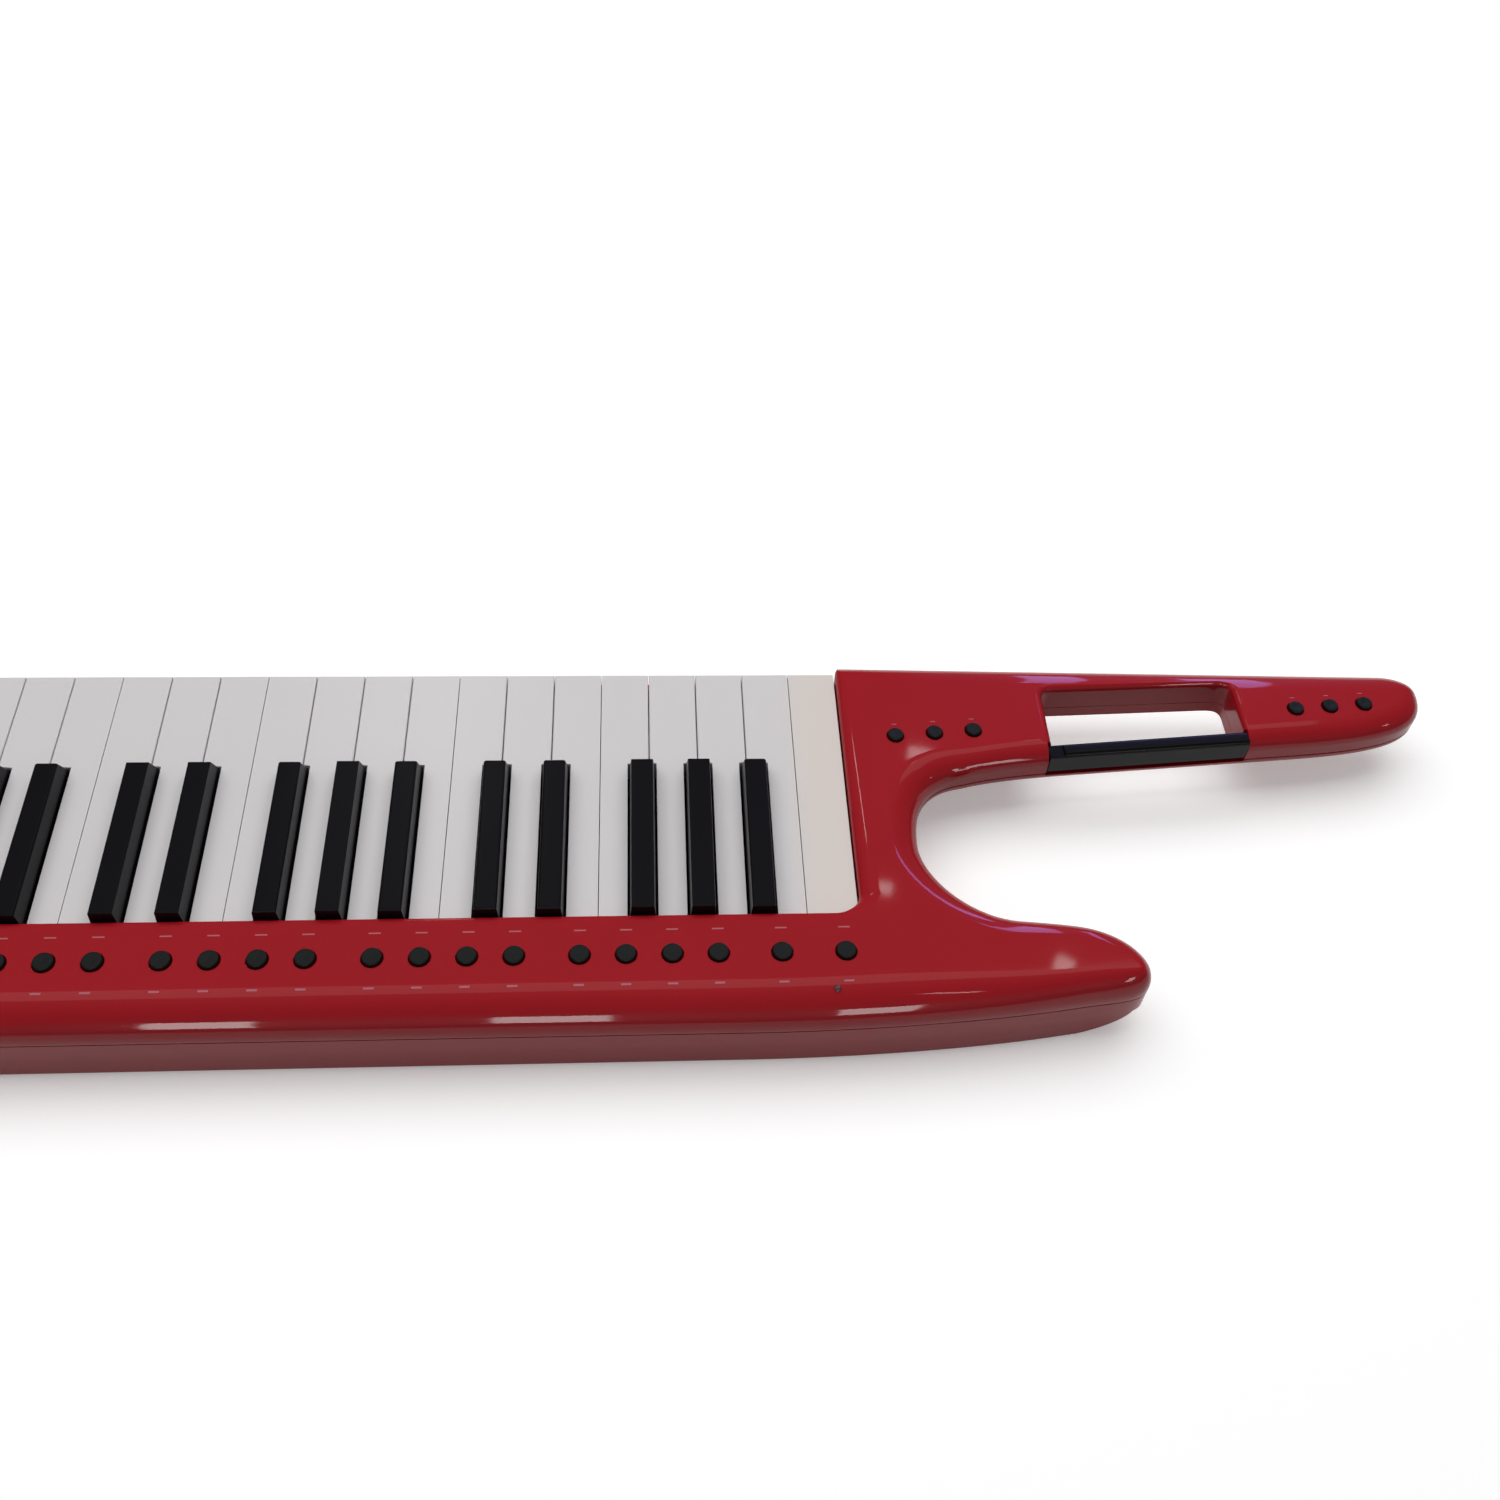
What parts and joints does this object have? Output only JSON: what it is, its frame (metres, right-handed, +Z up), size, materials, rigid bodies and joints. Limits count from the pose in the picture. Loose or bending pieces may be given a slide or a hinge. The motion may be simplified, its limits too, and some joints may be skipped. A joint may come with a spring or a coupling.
{
  "type": "keytar",
  "caption": "Shoulder-worn keyboard with full-size keys, a hollow grip neck with an expression bar, rows of buttons and a curved hand cut-out between neck and horn.",
  "frame": {"origin": "on the table, under the middle of the overall box", "axes": "+X to the treble end, +Y from the player's side to the panel side, +Z up out of the keys"},
  "size_m": [1.0154, 0.203, 0.049],
  "materials": {
    "red_shell": "moulded, glossy deep red",
    "white_key": "moulded, satin-gloss white",
    "black_key": "moulded, satin black",
    "button": "moulded rubber, dark grey",
    "expression_bar": "moulded, satin black",
    "chassis": "moulded, dark grey",
    "circuit_board": "green solder mask",
    "jack_plate": "moulded, fine matt grain",
    "plated_steel": "nickel plated, bright"
  },
  "bodies": {
    "case": {"upper_case": "red_shell", "lower_case": "red_shell", "key_chassis": "chassis", "control_board": "circuit_board", "jack_plate": "jack_plate", "strap_pin_neck": "plated_steel", "strap_pin_end": "plated_steel"},
    "white_key_01": {"white_key_01": "white_key"},
    "white_key_02": {"white_key_02": "white_key"},
    "white_key_03": {"white_key_03": "white_key"},
    "white_key_04": {"white_key_04": "white_key"},
    "white_key_05": {"white_key_05": "white_key"},
    "white_key_06": {"white_key_06": "white_key"},
    "white_key_07": {"white_key_07": "white_key"},
    "white_key_08": {"white_key_08": "white_key"},
    "white_key_09": {"white_key_09": "white_key"},
    "white_key_10": {"white_key_10": "white_key"},
    "white_key_11": {"white_key_11": "white_key"},
    "white_key_12": {"white_key_12": "white_key"},
    "white_key_13": {"white_key_13": "white_key"},
    "white_key_14": {"white_key_14": "white_key"},
    "white_key_15": {"white_key_15": "white_key"},
    "white_key_16": {"white_key_16": "white_key"},
    "white_key_17": {"white_key_17": "white_key"},
    "white_key_18": {"white_key_18": "white_key"},
    "white_key_19": {"white_key_19": "white_key"},
    "white_key_20": {"white_key_20": "white_key"},
    "white_key_21": {"white_key_21": "white_key"},
    "white_key_22": {"white_key_22": "white_key"},
    "white_key_23": {"white_key_23": "white_key"},
    "white_key_24": {"white_key_24": "white_key"},
    "white_key_25": {"white_key_25": "white_key"},
    "white_key_26": {"white_key_26": "white_key"},
    "white_key_27": {"white_key_27": "white_key"},
    "black_key_01": {"black_key_01": "black_key"},
    "black_key_02": {"black_key_02": "black_key"},
    "black_key_03": {"black_key_03": "black_key"},
    "black_key_04": {"black_key_04": "black_key"},
    "black_key_05": {"black_key_05": "black_key"},
    "black_key_06": {"black_key_06": "black_key"},
    "black_key_07": {"black_key_07": "black_key"},
    "black_key_08": {"black_key_08": "black_key"},
    "black_key_09": {"black_key_09": "black_key"},
    "black_key_10": {"black_key_10": "black_key"},
    "black_key_11": {"black_key_11": "black_key"},
    "black_key_12": {"black_key_12": "black_key"},
    "black_key_13": {"black_key_13": "black_key"},
    "black_key_14": {"black_key_14": "black_key"},
    "black_key_15": {"black_key_15": "black_key"},
    "black_key_16": {"black_key_16": "black_key"},
    "black_key_17": {"black_key_17": "black_key"},
    "black_key_18": {"black_key_18": "black_key"},
    "panel_buttons_pair": {"panel_buttons_pair": "button"},
    "panel_buttons_1": {"panel_buttons_1": "button"},
    "panel_buttons_2": {"panel_buttons_2": "button"},
    "panel_buttons_3": {"panel_buttons_3": "button"},
    "panel_buttons_4": {"panel_buttons_4": "button"},
    "neck_base_buttons": {"neck_base_buttons": "button"},
    "neck_tip_buttons": {"neck_tip_buttons": "button"},
    "expression_bar": {"expression_bar": "expression_bar"}
  },
  "joints": [
    {"name": "white_key_01_press", "type": "hinge", "parent": "case", "child": "white_key_01", "pos_m": [-0.1939, 0.0585, 0.031], "axis": [1, 0, 0], "range_deg": [0, 3.6], "stiffness_Nm_per_rad": 0.3, "springref_deg": -16.04},
    {"name": "white_key_02_press", "type": "hinge", "parent": "case", "child": "white_key_02", "pos_m": [-0.1704, 0.0585, 0.031], "axis": [1, 0, 0], "range_deg": [0, 3.6], "stiffness_Nm_per_rad": 0.3, "springref_deg": -16.04},
    {"name": "white_key_03_press", "type": "hinge", "parent": "case", "child": "white_key_03", "pos_m": [-0.1469, 0.0585, 0.031], "axis": [1, 0, 0], "range_deg": [0, 3.6], "stiffness_Nm_per_rad": 0.3, "springref_deg": -16.04},
    {"name": "white_key_04_press", "type": "hinge", "parent": "case", "child": "white_key_04", "pos_m": [-0.1234, 0.0585, 0.031], "axis": [1, 0, 0], "range_deg": [0, 3.6], "stiffness_Nm_per_rad": 0.3, "springref_deg": -16.04},
    {"name": "white_key_05_press", "type": "hinge", "parent": "case", "child": "white_key_05", "pos_m": [-0.0999, 0.0585, 0.031], "axis": [1, 0, 0], "range_deg": [0, 3.6], "stiffness_Nm_per_rad": 0.3, "springref_deg": -16.04},
    {"name": "white_key_06_press", "type": "hinge", "parent": "case", "child": "white_key_06", "pos_m": [-0.0764, 0.0585, 0.031], "axis": [1, 0, 0], "range_deg": [0, 3.6], "stiffness_Nm_per_rad": 0.3, "springref_deg": -16.04},
    {"name": "white_key_07_press", "type": "hinge", "parent": "case", "child": "white_key_07", "pos_m": [-0.0529, 0.0585, 0.031], "axis": [1, 0, 0], "range_deg": [0, 3.6], "stiffness_Nm_per_rad": 0.3, "springref_deg": -16.04},
    {"name": "white_key_08_press", "type": "hinge", "parent": "case", "child": "white_key_08", "pos_m": [-0.0294, 0.0585, 0.031], "axis": [1, 0, 0], "range_deg": [0, 3.6], "stiffness_Nm_per_rad": 0.3, "springref_deg": -16.04},
    {"name": "white_key_09_press", "type": "hinge", "parent": "case", "child": "white_key_09", "pos_m": [-0.0059, 0.0585, 0.031], "axis": [1, 0, 0], "range_deg": [0, 3.6], "stiffness_Nm_per_rad": 0.3, "springref_deg": -16.04},
    {"name": "white_key_10_press", "type": "hinge", "parent": "case", "child": "white_key_10", "pos_m": [0.0176, 0.0585, 0.031], "axis": [1, 0, 0], "range_deg": [0, 3.6], "stiffness_Nm_per_rad": 0.3, "springref_deg": -16.04},
    {"name": "white_key_11_press", "type": "hinge", "parent": "case", "child": "white_key_11", "pos_m": [0.0411, 0.0585, 0.031], "axis": [1, 0, 0], "range_deg": [0, 3.6], "stiffness_Nm_per_rad": 0.3, "springref_deg": -16.04},
    {"name": "white_key_12_press", "type": "hinge", "parent": "case", "child": "white_key_12", "pos_m": [0.0646, 0.0585, 0.031], "axis": [1, 0, 0], "range_deg": [0, 3.6], "stiffness_Nm_per_rad": 0.3, "springref_deg": -16.04},
    {"name": "white_key_13_press", "type": "hinge", "parent": "case", "child": "white_key_13", "pos_m": [0.0881, 0.0585, 0.031], "axis": [1, 0, 0], "range_deg": [0, 3.6], "stiffness_Nm_per_rad": 0.3, "springref_deg": -16.04},
    {"name": "white_key_14_press", "type": "hinge", "parent": "case", "child": "white_key_14", "pos_m": [0.1116, 0.0585, 0.031], "axis": [1, 0, 0], "range_deg": [0, 3.6], "stiffness_Nm_per_rad": 0.3, "springref_deg": -16.04},
    {"name": "white_key_15_press", "type": "hinge", "parent": "case", "child": "white_key_15", "pos_m": [0.1351, 0.0585, 0.031], "axis": [1, 0, 0], "range_deg": [0, 3.6], "stiffness_Nm_per_rad": 0.3, "springref_deg": -16.04},
    {"name": "white_key_16_press", "type": "hinge", "parent": "case", "child": "white_key_16", "pos_m": [0.1586, 0.0585, 0.031], "axis": [1, 0, 0], "range_deg": [0, 3.6], "stiffness_Nm_per_rad": 0.3, "springref_deg": -16.04},
    {"name": "white_key_17_press", "type": "hinge", "parent": "case", "child": "white_key_17", "pos_m": [0.1821, 0.0585, 0.031], "axis": [1, 0, 0], "range_deg": [0, 3.6], "stiffness_Nm_per_rad": 0.3, "springref_deg": -16.04},
    {"name": "white_key_18_press", "type": "hinge", "parent": "case", "child": "white_key_18", "pos_m": [0.2056, 0.0585, 0.031], "axis": [1, 0, 0], "range_deg": [0, 3.6], "stiffness_Nm_per_rad": 0.3, "springref_deg": -16.04},
    {"name": "white_key_19_press", "type": "hinge", "parent": "case", "child": "white_key_19", "pos_m": [0.2291, 0.0585, 0.031], "axis": [1, 0, 0], "range_deg": [0, 3.6], "stiffness_Nm_per_rad": 0.3, "springref_deg": -16.04},
    {"name": "white_key_20_press", "type": "hinge", "parent": "case", "child": "white_key_20", "pos_m": [0.2526, 0.0585, 0.031], "axis": [1, 0, 0], "range_deg": [0, 3.6], "stiffness_Nm_per_rad": 0.3, "springref_deg": -16.04},
    {"name": "white_key_21_press", "type": "hinge", "parent": "case", "child": "white_key_21", "pos_m": [0.2761, 0.0585, 0.031], "axis": [1, 0, 0], "range_deg": [0, 3.6], "stiffness_Nm_per_rad": 0.3, "springref_deg": -16.04},
    {"name": "white_key_22_press", "type": "hinge", "parent": "case", "child": "white_key_22", "pos_m": [0.2996, 0.0585, 0.031], "axis": [1, 0, 0], "range_deg": [0, 3.6], "stiffness_Nm_per_rad": 0.3, "springref_deg": -16.04},
    {"name": "white_key_23_press", "type": "hinge", "parent": "case", "child": "white_key_23", "pos_m": [0.3231, 0.0585, 0.031], "axis": [1, 0, 0], "range_deg": [0, 3.6], "stiffness_Nm_per_rad": 0.3, "springref_deg": -16.04},
    {"name": "white_key_24_press", "type": "hinge", "parent": "case", "child": "white_key_24", "pos_m": [0.3466, 0.0585, 0.031], "axis": [1, 0, 0], "range_deg": [0, 3.6], "stiffness_Nm_per_rad": 0.3, "springref_deg": -16.04},
    {"name": "white_key_25_press", "type": "hinge", "parent": "case", "child": "white_key_25", "pos_m": [0.3701, 0.0585, 0.031], "axis": [1, 0, 0], "range_deg": [0, 3.6], "stiffness_Nm_per_rad": 0.3, "springref_deg": -16.04},
    {"name": "white_key_26_press", "type": "hinge", "parent": "case", "child": "white_key_26", "pos_m": [0.3936, 0.0585, 0.031], "axis": [1, 0, 0], "range_deg": [0, 3.6], "stiffness_Nm_per_rad": 0.3, "springref_deg": -16.04},
    {"name": "white_key_27_press", "type": "hinge", "parent": "case", "child": "white_key_27", "pos_m": [0.4171, 0.0585, 0.031], "axis": [1, 0, 0], "range_deg": [0, 3.6], "stiffness_Nm_per_rad": 0.3, "springref_deg": -16.04},
    {"name": "black_key_01_press", "type": "hinge", "parent": "case", "child": "black_key_01", "pos_m": [-0.16207, 0.0585, 0.031], "axis": [1, 0, 0], "range_deg": [0, 4.5], "stiffness_Nm_per_rad": 0.3, "springref_deg": -11.46},
    {"name": "black_key_02_press", "type": "hinge", "parent": "case", "child": "black_key_02", "pos_m": [-0.13515, 0.0585, 0.031], "axis": [1, 0, 0], "range_deg": [0, 4.5], "stiffness_Nm_per_rad": 0.3, "springref_deg": -11.46},
    {"name": "black_key_03_press", "type": "hinge", "parent": "case", "child": "black_key_03", "pos_m": [-0.10822, 0.0585, 0.031], "axis": [1, 0, 0], "range_deg": [0, 4.5], "stiffness_Nm_per_rad": 0.3, "springref_deg": -11.46},
    {"name": "black_key_04_press", "type": "hinge", "parent": "case", "child": "black_key_04", "pos_m": [-0.06695, 0.0585, 0.031], "axis": [1, 0, 0], "range_deg": [0, 4.5], "stiffness_Nm_per_rad": 0.3, "springref_deg": -11.46},
    {"name": "black_key_05_press", "type": "hinge", "parent": "case", "child": "black_key_05", "pos_m": [-0.03887, 0.0585, 0.031], "axis": [1, 0, 0], "range_deg": [0, 4.5], "stiffness_Nm_per_rad": 0.3, "springref_deg": -11.46},
    {"name": "black_key_06_press", "type": "hinge", "parent": "case", "child": "black_key_06", "pos_m": [0.00243, 0.0585, 0.031], "axis": [1, 0, 0], "range_deg": [0, 4.5], "stiffness_Nm_per_rad": 0.3, "springref_deg": -11.46},
    {"name": "black_key_07_press", "type": "hinge", "parent": "case", "child": "black_key_07", "pos_m": [0.02935, 0.0585, 0.031], "axis": [1, 0, 0], "range_deg": [0, 4.5], "stiffness_Nm_per_rad": 0.3, "springref_deg": -11.46},
    {"name": "black_key_08_press", "type": "hinge", "parent": "case", "child": "black_key_08", "pos_m": [0.05628, 0.0585, 0.031], "axis": [1, 0, 0], "range_deg": [0, 4.5], "stiffness_Nm_per_rad": 0.3, "springref_deg": -11.46},
    {"name": "black_key_09_press", "type": "hinge", "parent": "case", "child": "black_key_09", "pos_m": [0.09755, 0.0585, 0.031], "axis": [1, 0, 0], "range_deg": [0, 4.5], "stiffness_Nm_per_rad": 0.3, "springref_deg": -11.46},
    {"name": "black_key_10_press", "type": "hinge", "parent": "case", "child": "black_key_10", "pos_m": [0.12563, 0.0585, 0.031], "axis": [1, 0, 0], "range_deg": [0, 4.5], "stiffness_Nm_per_rad": 0.3, "springref_deg": -11.46},
    {"name": "black_key_11_press", "type": "hinge", "parent": "case", "child": "black_key_11", "pos_m": [0.16693, 0.0585, 0.031], "axis": [1, 0, 0], "range_deg": [0, 4.5], "stiffness_Nm_per_rad": 0.3, "springref_deg": -11.46},
    {"name": "black_key_12_press", "type": "hinge", "parent": "case", "child": "black_key_12", "pos_m": [0.19385, 0.0585, 0.031], "axis": [1, 0, 0], "range_deg": [0, 4.5], "stiffness_Nm_per_rad": 0.3, "springref_deg": -11.46},
    {"name": "black_key_13_press", "type": "hinge", "parent": "case", "child": "black_key_13", "pos_m": [0.22078, 0.0585, 0.031], "axis": [1, 0, 0], "range_deg": [0, 4.5], "stiffness_Nm_per_rad": 0.3, "springref_deg": -11.46},
    {"name": "black_key_14_press", "type": "hinge", "parent": "case", "child": "black_key_14", "pos_m": [0.26205, 0.0585, 0.031], "axis": [1, 0, 0], "range_deg": [0, 4.5], "stiffness_Nm_per_rad": 0.3, "springref_deg": -11.46},
    {"name": "black_key_15_press", "type": "hinge", "parent": "case", "child": "black_key_15", "pos_m": [0.29013, 0.0585, 0.031], "axis": [1, 0, 0], "range_deg": [0, 4.5], "stiffness_Nm_per_rad": 0.3, "springref_deg": -11.46},
    {"name": "black_key_16_press", "type": "hinge", "parent": "case", "child": "black_key_16", "pos_m": [0.33143, 0.0585, 0.031], "axis": [1, 0, 0], "range_deg": [0, 4.5], "stiffness_Nm_per_rad": 0.3, "springref_deg": -11.46},
    {"name": "black_key_17_press", "type": "hinge", "parent": "case", "child": "black_key_17", "pos_m": [0.35835, 0.0585, 0.031], "axis": [1, 0, 0], "range_deg": [0, 4.5], "stiffness_Nm_per_rad": 0.3, "springref_deg": -11.46},
    {"name": "black_key_18_press", "type": "hinge", "parent": "case", "child": "black_key_18", "pos_m": [0.38528, 0.0585, 0.031], "axis": [1, 0, 0], "range_deg": [0, 4.5], "stiffness_Nm_per_rad": 0.3, "springref_deg": -11.46},
    {"name": "panel_buttons_pair_press", "type": "slide", "parent": "case", "child": "panel_buttons_pair", "axis": [0, 0, -1], "range_m": [0, 0.001], "stiffness_N_per_m": 400, "springref_m": -0.002},
    {"name": "panel_buttons_1_press", "type": "slide", "parent": "case", "child": "panel_buttons_1", "axis": [0, 0, -1], "range_m": [0, 0.001], "stiffness_N_per_m": 400, "springref_m": -0.002},
    {"name": "panel_buttons_2_press", "type": "slide", "parent": "case", "child": "panel_buttons_2", "axis": [0, 0, -1], "range_m": [0, 0.001], "stiffness_N_per_m": 400, "springref_m": -0.002},
    {"name": "panel_buttons_3_press", "type": "slide", "parent": "case", "child": "panel_buttons_3", "axis": [0, 0, -1], "range_m": [0, 0.001], "stiffness_N_per_m": 400, "springref_m": -0.002},
    {"name": "panel_buttons_4_press", "type": "slide", "parent": "case", "child": "panel_buttons_4", "axis": [0, 0, -1], "range_m": [0, 0.001], "stiffness_N_per_m": 400, "springref_m": -0.002},
    {"name": "neck_base_buttons_press", "type": "slide", "parent": "case", "child": "neck_base_buttons", "axis": [0, 0, -1], "range_m": [0, 0.001], "stiffness_N_per_m": 400, "springref_m": -0.002},
    {"name": "neck_tip_buttons_press", "type": "slide", "parent": "case", "child": "neck_tip_buttons", "axis": [0, 0, -1], "range_m": [0, 0.001], "stiffness_N_per_m": 400, "springref_m": -0.002},
    {"name": "expression_bar_press", "type": "slide", "parent": "case", "child": "expression_bar", "axis": [0, 0, -1], "range_m": [0, 0.0025], "stiffness_N_per_m": 600, "springref_m": -0.003}
  ]
}
